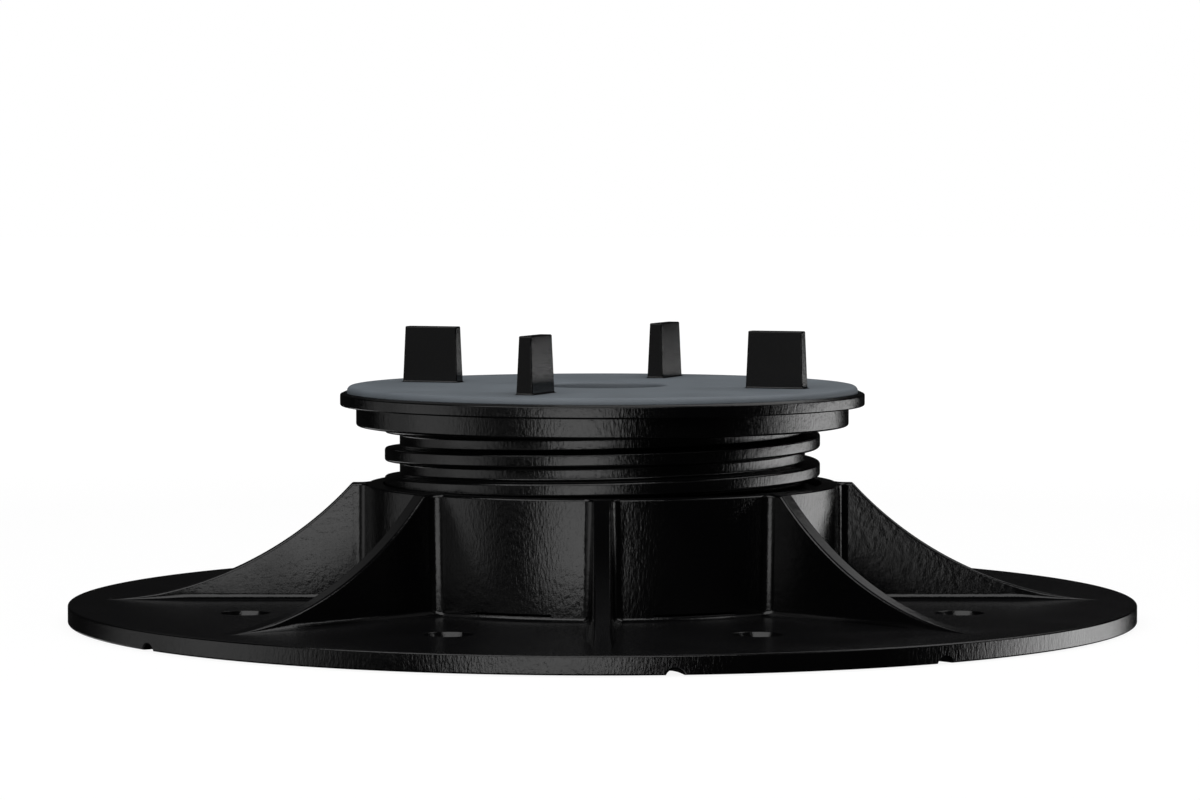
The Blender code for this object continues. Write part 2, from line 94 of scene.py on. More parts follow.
# Screw holes between the ribs
HOLE_RING_RADIUS = 70.5
HOLE_SHANK_RADIUS = 3.0
HOLE_HEAD_RADIUS = 4.5
HOLE_HEAD_DEPTH = 1.6
HOLE_DRAFT = 0.56
HOLE_EDGE_ROUND = 0.15

# Thin drain slots at the collar's foot
SLOT_WIDTH = 16.0
SLOT_HEIGHT = 0.4
SLOT_EDGE_ROUND = 0.08

# Drainage notches in the rim's underside, each with one straight across the plate from it. They run out
# towards the middle, because they are cut at a tilt.
NOTCH_DEGREES = (-143.0, -83.0, -54.0)
NOTCH_WIDTH = 3.2
NOTCH_HEIGHT = 1.1
NOTCH_LENGTH = 12.0
NOTCH_TILT_DEGREES = 9.0
NOTCH_EDGE_ROUND = 0.3

# Screw sleeve
SCREW_CREST_RADIUS = 40.85
SCREW_WALL = 2.2
SCREW_LENGTH = 27.4
SCREW_END_ROUND = 0.4
SCREW_LIP_WIDTH = 1.4
SCREW_LIP_HEIGHT = 1.8

# Cap
CAP_RISE = 10.85
SKIRT_CLEARANCE = 2.75
SKIRT_HEIGHT = 3.8
SKIRT_WALL = 2.6
SKIRT_EDGE_ROUND = 0.45
FLANGE_OVERHANG = 3.0
FLANGE_SIDE_HEIGHT = 2.1
FLANGE_EDGE_ROUND = 0.3
FLANGE_CHAMFER_HEIGHT = 0.45
FLANGE_CHAMFER_WIDTH = 1.05
DECK_THICKNESS = 1.7
CENTRE_HOLE_RADIUS = 11.9
SMALL_ROUND = 0.25

# Hub ring and stiffening ribs under the cap's deck
HUB_WALL = 2.0
HUB_DEPTH = 3.0
DECK_RIB_COUNT = 8
DECK_RIB_THICKNESS = 1.6
DECK_RIB_DEPTH = 2.4

# Snap hooks that hold the cap on the screw's lip
HOOK_COUNT = 4
HOOK_SPAN = 14.0
HOOK_THICKNESS = 1.8
HOOK_BARB = 1.05
HOOK_BARB_HEIGHT = 1.8

# Rubber pad
PAD_THICKNESS = 1.8
PAD_PROUD = 1.1
PAD_SIDE_GAP = 0.25
PAD_EDGE_ROUND = 0.95
PAD_HOLE_ROUND = 0.5
# Shares of the radius at which the pad's top is split into rings
PAD_RINGS = (0.5, 0.8)

# Tile spacer lugs
LUG_COUNT = 4
LUG_FIRST_DEGREES = -20.6
LUG_RING_RADIUS = 34.45
LUG_HEIGHT = 10.6
LUG_FOOT_LENGTH = 11.1
LUG_FOOT_THICKNESS = 3.2
LUG_TOP_LENGTH = 10.4
LUG_TOP_THICKNESS = 2.4
LUG_EDGE_ROUND = 0.22
LUG_FLARE = 0.3

# Facets
ROUND_STEPS = 256
THREAD_STEPS = 160
SMALL_STEPS = 48
ARC_SEGMENTS = 4
RIB_CURVE_SEGMENTS = 40
RIB_SHOULDER_SEGMENTS = 8
LUG_FLARE_SEGMENTS = 4
LUG_SIDE_SEGMENTS = 6
SMOOTH_BELOW_DEGREES = 32.0

# How far joined shapes reach into each other, and cutters past a face
OVERLAP = 1.0
# How far a shape that ends flush with another stands clear of it or reaches into it
SLIVER = 0.02

# Radii that follow from the thread
SCREW_CORE_RADIUS = SCREW_CREST_RADIUS - THREAD_DEPTH
SCREW_BORE_RADIUS = SCREW_CORE_RADIUS - SCREW_WALL
NUT_ROOT_RADIUS = SCREW_CREST_RADIUS + THREAD_GAP
NUT_CREST_RADIUS = SCREW_CORE_RADIUS + THREAD_GAP
COLLAR_RADIUS = NUT_ROOT_RADIUS + COLLAR_WALL

# Heights that follow from one another, from the collar up
SKIRT_BOTTOM = COLLAR_TOP + CAP_RISE
FLANGE_BOTTOM = SKIRT_BOTTOM + SKIRT_HEIGHT
FLANGE_SIDE_TOP = FLANGE_BOTTOM + FLANGE_SIDE_HEIGHT
RIM_TOP = FLANGE_SIDE_TOP + FLANGE_CHAMFER_HEIGHT
PAD_TOP = RIM_TOP + PAD_PROUD
PAD_BOTTOM = PAD_TOP - PAD_THICKNESS
DECK_TOP = PAD_BOTTOM - SEAT_GAP
DECK_BOTTOM = DECK_TOP - DECK_THICKNESS
SCREW_TOP = DECK_BOTTOM - SEAT_GAP
SCREW_BOTTOM = SCREW_TOP - SCREW_LENGTH
LIP_BOTTOM = SCREW_TOP - SCREW_LIP_HEIGHT

# Radii on the cap, whose skirt clears the screw's thread
SKIRT_RADIUS = SCREW_CREST_RADIUS + SKIRT_CLEARANCE + SKIRT_WALL
FLANGE_RADIUS = SKIRT_RADIUS + FLANGE_OVERHANG
LIP_RADIUS = SCREW_BORE_RADIUS - SCREW_LIP_WIDTH
RECESS_RADIUS = FLANGE_RADIUS - FLANGE_CHAMFER_WIDTH
PAD_RADIUS = RECESS_RADIUS - PAD_SIDE_GAP
HUB_RADIUS = CENTRE_HOLE_RADIUS + HUB_WALL
HOOK_RADIUS = LIP_RADIUS - SEAT_GAP
HOOK_INNER_RADIUS = HOOK_RADIUS - HOOK_THICKNESS

scene = bpy.context.scene


# Mesh building

def mesh_object(name, bm):
    """Puts a bmesh into an object of its own, with its faces turned outward."""
    bmesh.ops.recalc_face_normals(bm, faces=bm.faces)
    mesh = bpy.data.meshes.new(name)
    bm.to_mesh(mesh)
    bm.free()
    obj = bpy.data.objects.new(name, mesh)
    scene.collection.objects.link(obj)
    return obj


def arc(centre, radius, first, last, segments=ARC_SEGMENTS):
    """Points on an arc in a plane, from the first to the last angle in degrees."""
    angles = [math.radians(first + (last - first) * i / segments) for i in range(segments + 1)]
    return [(centre[0] + radius * math.cos(a), centre[1] + radius * math.sin(a)) for a in angles]


def rounded(corners, segments=ARC_SEGMENTS):
    """A closed outline from (x, y, radius) corners, with an arc at each corner that has a radius."""
    outline = []
    for i, (x, y, radius) in enumerate(corners):
        if not radius:
            outline.append((x, y))
            continue
        here = Vector((x, y))
        before = (Vector(corners[i - 1][:2]) - here).normalized()
        after = (Vector(corners[(i + 1) % len(corners)][:2]) - here).normalized()
        half = before.angle(after) / 2
        centre = here + (before + after).normalized() * radius / math.sin(half)
        start = here + before * radius / math.tan(half) - centre
        end = here + after * radius / math.tan(half) - centre
        first = math.degrees(math.atan2(start.y, start.x))
        sweep = math.degrees(math.atan2(end.y, end.x)) - first
        sweep = (sweep + 180.0) % 360.0 - 180.0
        outline += arc(centre, radius, first, first + sweep, segments)
    return outline


def turned(name, outline, steps=ROUND_STEPS, closed=True, phase=0.0):
    """A solid of revolution from a (radius, height) outline. A closed outline makes a ring, and an open one
    starts and ends with a flat disc."""
    bm = bmesh.new()
    columns = []
    for i in range(steps):
        turn = Matrix.Rotation(2 * math.pi * (i + phase) / steps, 3, "Z")
        columns.append([bm.verts.new(turn @ Vector((r, 0.0, z))) for r, z in outline])
    for a, b in zip(columns, columns[1:] + columns[:1]):
        for j in range(len(outline) if closed else len(outline) - 1):
            k = (j + 1) % len(outline)
            bm.faces.new((a[j], a[k], b[k], b[j]))
    if not closed:
        bm.faces.new([column[0] for column in columns])
        bm.faces.new([column[-1] for column in columns])
    return mesh_object(name, bm)


def lofted(name, rings):
    """A solid through rings of equally many points, with a flat cap at each end."""
    bm = bmesh.new()
    loops = [[bm.verts.new(point) for point in ring] for ring in rings]
    for a, b in zip(loops, loops[1:]):
        for j in range(len(a)):
            k = (j + 1) % len(a)
            bm.faces.new((a[j], a[k], b[k], b[j]))
    bm.faces.new(loops[0])
    bm.faces.new(loops[-1])
    return mesh_object(name, bm)


def box(name, size, place):
    """A box of full size (x, y, z) about the matrix's own origin."""
    bm = bmesh.new()
    bmesh.ops.create_cube(bm, size=1.0, matrix=place @ Matrix.Diagonal((*size, 1.0)))
    return mesh_object(name, bm)


def around(count, first=0.0):
    """Matrices that turn about +Z, evenly spaced from a first angle in degrees."""
    return [Matrix.Rotation(math.radians(first + 360.0 * i / count), 4, "Z") for i in range(count)]


def joined(name, objects, places=(Matrix.Identity(4),)):
    """One object from a copy of each object's mesh at each place. The objects themselves are removed."""
    bm = bmesh.new()
    for obj in objects:
        for place in places:
            copy = obj.data.copy()
            copy.transform(place)
            bm.from_mesh(copy)
            bpy.data.meshes.remove(copy)
        bpy.data.objects.remove(obj)
    return mesh_object(name, bm)


def boolean(obj, operation, other):
    """Applies a Boolean to an object's mesh and removes the other object."""
    step = obj.modifiers.new(other.name, "BOOLEAN")
    step.operation = operation
    step.solver = "EXACT"
    step.object = other
    graph = bpy.context.evaluated_depsgraph_get()
    mesh = bpy.data.meshes.new_from_object(obj.evaluated_get(graph))
    obj.modifiers.clear()
    obj.data = mesh
    bpy.data.objects.remove(other)


def finished(obj, node, body, material):
    """Turns a piece into metres, rounds its shading, and puts it in its node's place."""
    obj.data.transform(Matrix.Scale(METRES, 4))
    obj.data.shade_smooth()
    obj.data.set_sharp_from_angle(angle=math.radians(SMOOTH_BELOW_DEGREES))
    weight = obj.modifiers.new("even_normals", "WEIGHTED_NORMAL")
    weight.keep_sharp = True
    obj.data.materials.clear()
    obj.data.materials.append(material)
    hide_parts(node)
    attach(obj, body)


# Thread

def crest_height(degrees):
    """Height of the middle of the screw's thread at an angle about +Z."""
    return THREAD_CREST_HEIGHT_AT_X + THREAD_PITCH * degrees / 360.0


def thread_rod(name, core, crest, crest_width, root_width, offset, reach, lowest, turns):
    """A rod about +Z whose side is a screw surface. The thread goes from the core radius out or in to the
    crest radius, starts at the lowest height, and tapers away at both ends. The offset is its height above
    the screw's own crest line. The reach is the (lowest, highest) height that the rod's side has to cover."""
    step = 360.0 / THREAD_STEPS
    outline = rounded(
        [
            (core, -THREAD_PITCH / 2, 0.0),
            (core, -root_width / 2, THREAD_EDGE_ROUND),
            (crest, -crest_width / 2, THREAD_EDGE_ROUND),
            (crest, crest_width / 2, THREAD_EDGE_ROUND),
            (core, root_width / 2, THREAD_EDGE_ROUND),
            (core, THREAD_PITCH / 2, 0.0),
        ]
    )[:-1]
    base_height = crest_height(0.0) + offset
    first = math.floor((reach[0] - base_height) / THREAD_PITCH - THREAD_MARGIN_TURNS) * THREAD_STEPS
    last = math.ceil((reach[1] - base_height) / THREAD_PITCH + THREAD_MARGIN_TURNS) * THREAD_STEPS
    thread_start = (lowest - base_height) / THREAD_PITCH * 360.0
    thread_end = thread_start + turns * 360.0
    bm = bmesh.new()
    columns = []
    for i in range(first, last + 1):
        degrees = (i + 0.5) * step
        inside = min(degrees - thread_start, thread_end - degrees)
        growth = max(0.0, min(1.0, inside / THREAD_RUN_OUT_DEGREES))
        turn = Matrix.Rotation(math.radians(degrees), 3, "Z")
        middle = crest_height(degrees) + offset
        points = [(core + (r - core) * growth, middle + z) for r, z in outline]
        columns.append([bm.verts.new(turn @ Vector((r, 0.0, z))) for r, z in points])
    count = len(outline)
    for i, (a, b) in enumerate(zip(columns, columns[1:])):
        for j in range(count - 1):
            bm.faces.new((a[j], a[j + 1], b[j + 1], b[j]))
        above = i + THREAD_STEPS
        if above + 1 < len(columns):
            bm.faces.new((a[-1], columns[above][0], columns[above + 1][0], b[-1]))
    low = [column[0] for column in columns[: THREAD_STEPS + 1]] + columns[0][:0:-1]
    high = columns[-1][:-1] + [column[-1] for column in columns[-1 - THREAD_STEPS :][::-1]]
    for rim in (low, high):
        hub = bm.verts.new((0.0, 0.0, sum(vert.co.z for vert in rim) / len(rim)))
        for a, b in zip(rim, rim[1:] + rim[:1]):
            bm.faces.new((a, b, hub))
    return mesh_object(name, bm)


# Foot

def rib_path():
    """Stations along the rib's upper edge, from inside the collar to the toe. Each is a (radius, height)
    point with the upward normal there."""
    shoulder = COLLAR_RADIUS + RIB_SHOULDER
    start = Vector((shoulder, COLLAR_TOP))
    end = Vector((PLATE_RADIUS - RIB_TOE_INSET, PLATE_THICKNESS))
    chord = end - start
    upward = Vector((-chord.y, chord.x)).normalized()
    centre = (start + end) / 2 + upward * math.sqrt(RIB_CURVE_RADIUS**2 - chord.length_squared / 4)
    first = math.degrees(math.atan2(start.y - centre.y, start.x - centre.x))
    last = math.degrees(math.atan2(end.y - centre.y, end.x - centre.x))
    past = math.degrees(OVERLAP / 2 / RIB_CURVE_RADIUS)
    curve = arc(centre, RIB_CURVE_RADIUS, first, last + past, RIB_CURVE_SEGMENTS)
    inner = COLLAR_RADIUS - OVERLAP
    length = COLLAR_RADIUS + RIB_ROOT_FILLET - inner
    radii = [inner + length * i / RIB_SHOULDER_SEGMENTS for i in range(RIB_SHOULDER_SEGMENTS + 1)]
    flat = [(radius, COLLAR_TOP) for radius in radii]
    # The shoulder's round takes the place of the curve's first two points
    rest = curve[2:]
    soft = rounded([(*flat[-1], 0.0), (shoulder, COLLAR_TOP, RIB_SHOULDER_ROUND), (*rest[0], 0.0)])
    path = [Vector(point) for point in flat + soft[1:-1] + rest]
    stations = []
    for i, point in enumerate(path):
        along = path[min(i + 1, len(path) - 1)] - path[max(i - 1, 0)]
        stations.append((point, Vector((-along.y, along.x)).normalized()))
    return stations


def rib_half_thickness(radius):
    """Half of the rib's thickness at a radius, with the flare where it grows out of the collar."""
    half = RIB_THICKNESS / 2
    side = half + RIB_ROOT_FILLET
    reach = COLLAR_RADIUS + RIB_ROOT_FILLET
    centre = math.sqrt(reach**2 - side**2)
    tangent = COLLAR_RADIUS * centre / reach
    if radius >= centre:
        return half
    inward = centre - max(radius, tangent)
    return side - math.sqrt(RIB_ROOT_FILLET**2 - inward**2)


def make_rib():
    """One rib along +X: a loft along its curve, with drafted sides, a fillet on the plate and rounded
    upper edges."""
    rings = []
    bottom = PLATE_THICKNESS - OVERLAP
    for point, normal in rib_path():
        height = max(point.y - PLATE_THICKNESS, 0.0)
        edge = min(RIB_EDGE_ROUND, RIB_EDGE_SHARE * height + SLIVER)
        fillet = min(RIB_FOOT_FILLET, RIB_FOOT_SHARE * height + SLIVER)
        half = rib_half_thickness(point.x)
        foot = half + height * math.tan(math.radians(RIB_DRAFT_DEGREES))
        below = point - normal * edge
        side = arc((foot + fillet, PLATE_THICKNESS + fillet), fillet, 270.0, 180.0)
        crown = []
        for i in range(ARC_SEGMENTS + 1):
            angle = math.pi / 2 * i / ARC_SEGMENTS
            spot = point - normal * edge * (1.0 - math.sin(angle))
            crown.append((spot.x, half - edge * (1.0 - math.cos(angle)), spot.y))
        ring = [(below.x, foot + fillet, bottom)]
        ring += [(below.x, y, z) for y, z in side]
        ring += crown
        rings.append(ring + [(x, -y, z) for x, y, z in reversed(ring)])
    return lofted("rib", rings)


def make_tap():
    """The cutter of the collar's inner thread, which ends at the collar's floor."""
    groove = THREAD_PITCH - THREAD_CREST_WIDTH - 2 * THREAD_FLANK_DRAFT - 2 * THREAD_GAP
    height = NUT_THREAD_TURNS * THREAD_PITCH
    lowest = COLLAR_TOP - NUT_THREAD_TOP_INSET - groove / 2 - height
    tap = thread_rod(
        "tap",
        NUT_ROOT_RADIUS,
        NUT_CREST_RADIUS,
        groove,
        groove + 2 * THREAD_FLANK_DRAFT,
        THREAD_PITCH / 2,
        (0.0, COLLAR_TOP),
        lowest,
        NUT_THREAD_TURNS,
    )
    below_floor = [(2 * NUT_ROOT_RADIUS, -2 * COLLAR_TOP), (2 * NUT_ROOT_RADIUS, FLOOR_THICKNESS)]
    boolean(tap, "DIFFERENCE", turned("below_floor", below_floor, SMALL_STEPS, closed=False))
    return tap


def make_holes(bays):
    """Cutters for the counterbored screw holes, one in each bay between two ribs."""
    outline = rounded(
        [
            (HOLE_HEAD_RADIUS + 2 * HOLE_EDGE_ROUND, PLATE_THICKNESS + OVERLAP, 0.0),
            (HOLE_HEAD_RADIUS + 2 * HOLE_EDGE_ROUND, PLATE_THICKNESS + SLIVER, 0.0),
            (HOLE_HEAD_RADIUS, PLATE_THICKNESS, HOLE_EDGE_ROUND),
            (HOLE_HEAD_RADIUS - HOLE_DRAFT, PLATE_THICKNESS - HOLE_HEAD_DEPTH, HOLE_EDGE_ROUND),
            (HOLE_SHANK_RADIUS, PLATE_THICKNESS - HOLE_HEAD_DEPTH, HOLE_EDGE_ROUND),
            (HOLE_SHANK_RADIUS, -OVERLAP, 0.0),
        ]
    )
    outward = Matrix.Translation((HOLE_RING_RADIUS, 0.0, 0.0))
    hole = turned("hole", outline, SMALL_STEPS, closed=False, phase=0.5)
    return joined("holes", [hole], [bay @ outward for bay in bays])


def make_slots(bays):
    """Cutters for the thin drain slots at the collar's foot, one in each bay between two ribs."""
    sill = PLATE_THICKNESS + FOOT_FILLET
    lintel = sill + SLOT_HEIGHT
    lower_edge = arc((COLLAR_RADIUS - SLOT_EDGE_ROUND, sill - SLOT_EDGE_ROUND), SLOT_EDGE_ROUND, 90.0, 0.0)
    upper_edge = arc((COLLAR_RADIUS - SLOT_EDGE_ROUND, lintel + SLOT_EDGE_ROUND), SLOT_EDGE_ROUND, 0.0, -90.0)
    outside = COLLAR_RADIUS + SLOT_EDGE_ROUND
    mouth = [(outside, sill - SLOT_EDGE_ROUND), (outside, lintel + SLOT_EDGE_ROUND)]
    outline = [(SCREW_CORE_RADIUS, sill), *lower_edge, *mouth, *upper_edge, (SCREW_CORE_RADIUS, lintel)]
    slots = turned("slots", outline)
    outward = Matrix.Translation((PLATE_RADIUS / 2, 0.0, 0.0))
    sector = box("sector", (PLATE_RADIUS, SLOT_WIDTH, COLLAR_TOP), outward)
    boolean(slots, "INTERSECT", joined("sectors", [sector], bays))
    return slots


def make_notches():
    """Cutters for the drainage notches: rods that lie at a tilt in the rim's underside."""
    radius = ((NOTCH_WIDTH / 2) ** 2 + NOTCH_HEIGHT**2) / (2 * NOTCH_HEIGHT)
    axis_height = NOTCH_HEIGHT - radius / math.cos(math.radians(NOTCH_TILT_DEGREES))
    tilted = Matrix.Rotation(math.radians(90.0 - NOTCH_TILT_DEGREES), 4, "Y")
    flare = arc((radius + NOTCH_EDGE_ROUND, -NOTCH_EDGE_ROUND), NOTCH_EDGE_ROUND, 180.0, 90.0)
    outline = [(radius, OVERLAP - NOTCH_LENGTH), *flare, (radius + NOTCH_EDGE_ROUND, OVERLAP)]
    notch = turned("notch", outline, SMALL_STEPS, closed=False)
    place = Matrix.Translation((PLATE_RADIUS, 0.0, axis_height)) @ tilted
    turns = [turn for degrees in NOTCH_DEGREES for turn in around(2, degrees)]
    return joined("notches", [notch], [turn @ place for turn in turns])


def make_base():
    """The foot as one moulding: plate, threaded collar and ribs, with the holes, slots and notches."""
    inner_ring, outer_ring = (share * PLATE_RADIUS for share in PLATE_RINGS)
    outline = rounded(
        [
            (COLLAR_RADIUS, COLLAR_TOP, COLLAR_EDGE_ROUND),
            (COLLAR_RADIUS, PLATE_THICKNESS, FOOT_FILLET),
            (inner_ring, PLATE_THICKNESS, 0.0),
            (outer_ring, PLATE_THICKNESS, 0.0),
            (PLATE_RADIUS, PLATE_THICKNESS, PLATE_TOP_ROUND),
            (PLATE_RADIUS, 0.0, PLATE_BOTTOM_ROUND),
            (outer_ring, 0.0, 0.0),
            (inner_ring, 0.0, 0.0),
            (FLOOR_HOLE_RADIUS, 0.0, SMALL_ROUND),
            (FLOOR_HOLE_RADIUS, FLOOR_THICKNESS, SMALL_ROUND),
            (NUT_CREST_RADIUS - OVERLAP, FLOOR_THICKNESS, 0.0),
            (NUT_CREST_RADIUS - OVERLAP, COLLAR_TOP, 0.0),
        ]
    )
    base = turned("foot_base", outline)
    boolean(base, "UNION", joined("ribs", [make_rib()], around(RIB_COUNT)))
    boolean(base, "DIFFERENCE", make_tap())
    bays = around(RIB_COUNT, 180.0 / RIB_COUNT)
    cutters = [make_holes(bays), make_slots(bays), make_notches()]
    boolean(base, "DIFFERENCE", joined("base_cutters", cutters))
    return base


# Screw sleeve

def make_screw():
    """The threaded sleeve, bored out to its wall, with the inner lip that the hooks hold."""
    root_width = THREAD_CREST_WIDTH + 2 * THREAD_FLANK_DRAFT
    margin = root_width / 2 + SEAT_GAP
    screw = thread_rod(
        "screw_sleeve",
        SCREW_CORE_RADIUS,
        SCREW_CREST_RADIUS,
        THREAD_CREST_WIDTH,
        root_width,
        0.0,
        (SCREW_BOTTOM, SCREW_TOP),
        SCREW_BOTTOM + margin,
        (SCREW_LENGTH - 2 * margin) / THREAD_PITCH,
    )
    outside = SCREW_CREST_RADIUS + OVERLAP
    core = SCREW_CORE_RADIUS + SLIVER
    low = arc((core - SCREW_END_ROUND, SCREW_BOTTOM + SCREW_END_ROUND), SCREW_END_ROUND, 270.0, 360.0)
    high = arc((core - SCREW_END_ROUND, SCREW_TOP - SCREW_END_ROUND), SCREW_END_ROUND, 0.0, 90.0)
    bore = rounded(
        [
            (LIP_RADIUS, SCREW_TOP, SMALL_ROUND),
            (LIP_RADIUS, LIP_BOTTOM, SMALL_ROUND),
            (SCREW_BORE_RADIUS, LIP_BOTTOM, SMALL_ROUND),
            (SCREW_BORE_RADIUS, SCREW_BOTTOM, SMALL_ROUND),
        ]
    )
    outline = [
        *low,
        (outside, SCREW_BOTTOM + SCREW_END_ROUND),
        (outside, SCREW_TOP - SCREW_END_ROUND),
        *high,
        *bore,
    ]
    boolean(screw, "INTERSECT", turned("sleeve_ring", outline))
    return screw


# Cap and pad

def lug_size(height):
    """Length and thickness of a lug at a height above the pad's top."""
    share = height / LUG_HEIGHT
    length = LUG_FOOT_LENGTH + (LUG_TOP_LENGTH - LUG_FOOT_LENGTH) * share
    thickness = LUG_FOOT_THICKNESS + (LUG_TOP_THICKNESS - LUG_FOOT_THICKNESS) * share
    return length, thickness


def make_lug():
    """One tapered lug along +X with rounded edges, and a small flare where it comes out of the pad."""
    # Heights above the pad's top, each with what every side gains there
    stations = [(DECK_TOP - DECK_THICKNESS / 2 - PAD_TOP, 0.0), (-SLIVER, 0.0)]
    for i in range(LUG_FLARE_SEGMENTS + 1):
        share = i / LUG_FLARE_SEGMENTS
        stations.append((LUG_FLARE * share, LUG_FLARE * (1.0 - math.sqrt(1.0 - (1.0 - share) ** 2))))
    stations += [(LUG_HEIGHT * i / LUG_SIDE_SEGMENTS, 0.0) for i in range(1, LUG_SIDE_SEGMENTS)]
    for i in range(ARC_SEGMENTS + 1):
        angle = math.pi / 2 * i / ARC_SEGMENTS
        height = LUG_HEIGHT - LUG_EDGE_ROUND * (1 - math.sin(angle))
        stations.append((height, LUG_EDGE_ROUND * (math.cos(angle) - 1)))
    rings = []
    for height, grow in stations:
        length, thickness = lug_size(height)
        x = length / 2 + grow
        y = thickness / 2 + grow
        corner = max(LUG_EDGE_ROUND + min(grow, 0.0), SLIVER)
        outline = rounded([(x, y, corner), (-x, y, corner), (-x, -y, corner), (x, -y, corner)])
        rings.append([(LUG_RING_RADIUS + a, b, PAD_TOP + height) for a, b in outline])
    return lofted("lug", rings)


def make_hooks():
    """The snap hooks: a barbed ring cut down to its sectors."""
    barb_top = LIP_BOTTOM - SEAT_GAP
    barb_bottom = barb_top - HOOK_BARB_HEIGHT
    inside = DECK_BOTTOM + DECK_THICKNESS / 2
    outline = rounded(
        [
            (HOOK_RADIUS, inside, 0.0),
            (HOOK_RADIUS, barb_top, SMALL_ROUND),
            (HOOK_RADIUS + HOOK_BARB, barb_top, SMALL_ROUND),
            (HOOK_RADIUS, barb_bottom, SMALL_ROUND),
            (HOOK_INNER_RADIUS, barb_bottom, SMALL_ROUND),
            (HOOK_INNER_RADIUS, inside, 0.0),
        ]
    )
    hooks = turned("hooks", outline)
    reach = HOOK_RADIUS + HOOK_BARB + OVERLAP
    place = Matrix.Translation((reach / 2 + HUB_RADIUS / 2, 0.0, LIP_BOTTOM))
    # Tall enough to pass both ends of the ring
    tall = 4 * HOOK_BARB_HEIGHT + 2 * SKIRT_HEIGHT
    size = (reach - HUB_RADIUS, HOOK_SPAN, tall)
    turns = around(HOOK_COUNT, LUG_FIRST_DEGREES + 180.0 / HOOK_COUNT)
    boolean(hooks, "INTERSECT", joined("hook_sectors", [box("hook_sector", size, place)], turns))
    return hooks


def make_cap():
    """The head as one moulding: flange, skirt and deck, with hub ring, stiffening ribs, hooks and lugs."""
    outline = rounded(
        [
            (RECESS_RADIUS, RIM_TOP, SMALL_ROUND / 2),
            (FLANGE_RADIUS, FLANGE_SIDE_TOP, FLANGE_EDGE_ROUND),
            (FLANGE_RADIUS, FLANGE_BOTTOM, FLANGE_EDGE_ROUND),
            (SKIRT_RADIUS, FLANGE_BOTTOM, SMALL_ROUND),
            (SKIRT_RADIUS, SKIRT_BOTTOM, SKIRT_EDGE_ROUND),
            (SKIRT_RADIUS - SKIRT_WALL, SKIRT_BOTTOM, SMALL_ROUND),
            (SKIRT_RADIUS - SKIRT_WALL, DECK_BOTTOM, 2 * SMALL_ROUND),
            (CENTRE_HOLE_RADIUS, DECK_BOTTOM, 0.0),
            (CENTRE_HOLE_RADIUS, DECK_TOP, SMALL_ROUND),
            (RECESS_RADIUS, DECK_TOP, SMALL_ROUND),
        ]
    )
    cap = turned("tile_cap", outline)

    outline = rounded(
        [
            (HUB_RADIUS, DECK_BOTTOM + DECK_THICKNESS / 2, 0.0),
            (HUB_RADIUS, DECK_BOTTOM - HUB_DEPTH, 2 * SMALL_ROUND),
            (CENTRE_HOLE_RADIUS + SEAT_GAP, DECK_BOTTOM - HUB_DEPTH, SMALL_ROUND),
            (CENTRE_HOLE_RADIUS + SEAT_GAP, DECK_BOTTOM + DECK_THICKNESS / 2, 0.0),
        ]
    )
    boolean(cap, "UNION", turned("hub_ring", outline, ROUND_STEPS // 2, phase=0.5))

    inner = CENTRE_HOLE_RADIUS + HUB_WALL / 2
    outer = HOOK_INNER_RADIUS + HOOK_THICKNESS / 2
    half = DECK_RIB_THICKNESS / 2
    low = DECK_BOTTOM - DECK_RIB_DEPTH
    high = DECK_BOTTOM + DECK_THICKNESS / 2
    outline = rounded(
        [
            (half, low, SMALL_ROUND),
            (half, high, 0.0),
            (-half, high, 0.0),
            (-half, low, SMALL_ROUND),
        ]
    )
    rib = lofted("deck_rib", [[(x, y, z) for y, z in outline] for x in (inner, outer)])
    boolean(cap, "UNION", joined("deck_ribs", [rib], around(DECK_RIB_COUNT, LUG_FIRST_DEGREES)))
    boolean(cap, "UNION", make_hooks())
    boolean(cap, "UNION", joined("lugs", [make_lug()], around(LUG_COUNT, LUG_FIRST_DEGREES)))
    return cap


def make_pad():
    """The rubber disc, with a hole in its middle and an opening round each lug."""
    inner_ring, outer_ring = (share * PAD_RADIUS for share in PAD_RINGS)
    outline = rounded(
        [
            (PAD_RADIUS, PAD_TOP, PAD_EDGE_ROUND),
            (PAD_RADIUS, PAD_BOTTOM, SMALL_ROUND),
            (CENTRE_HOLE_RADIUS, PAD_BOTTOM, SMALL_ROUND),
            (CENTRE_HOLE_RADIUS, PAD_TOP, PAD_HOLE_ROUND),
            (inner_ring, PAD_TOP, 0.0),
            (outer_ring, PAD_TOP, 0.0),
        ]
    )
    pad = turned("tile_pad", outline)
    length, thickness = (size + 2 * SEAT_GAP for size in lug_size(DECK_TOP - PAD_TOP))
    place = Matrix.Translation((LUG_RING_RADIUS, 0.0, (PAD_TOP + PAD_BOTTOM) / 2))
    opening = box("opening", (length, thickness, PAD_THICKNESS + 2 * OVERLAP), place)
    openings = joined("openings", [opening], around(LUG_COUNT, LUG_FIRST_DEGREES))
    boolean(pad, "DIFFERENCE", openings)
    return pad


# Materials

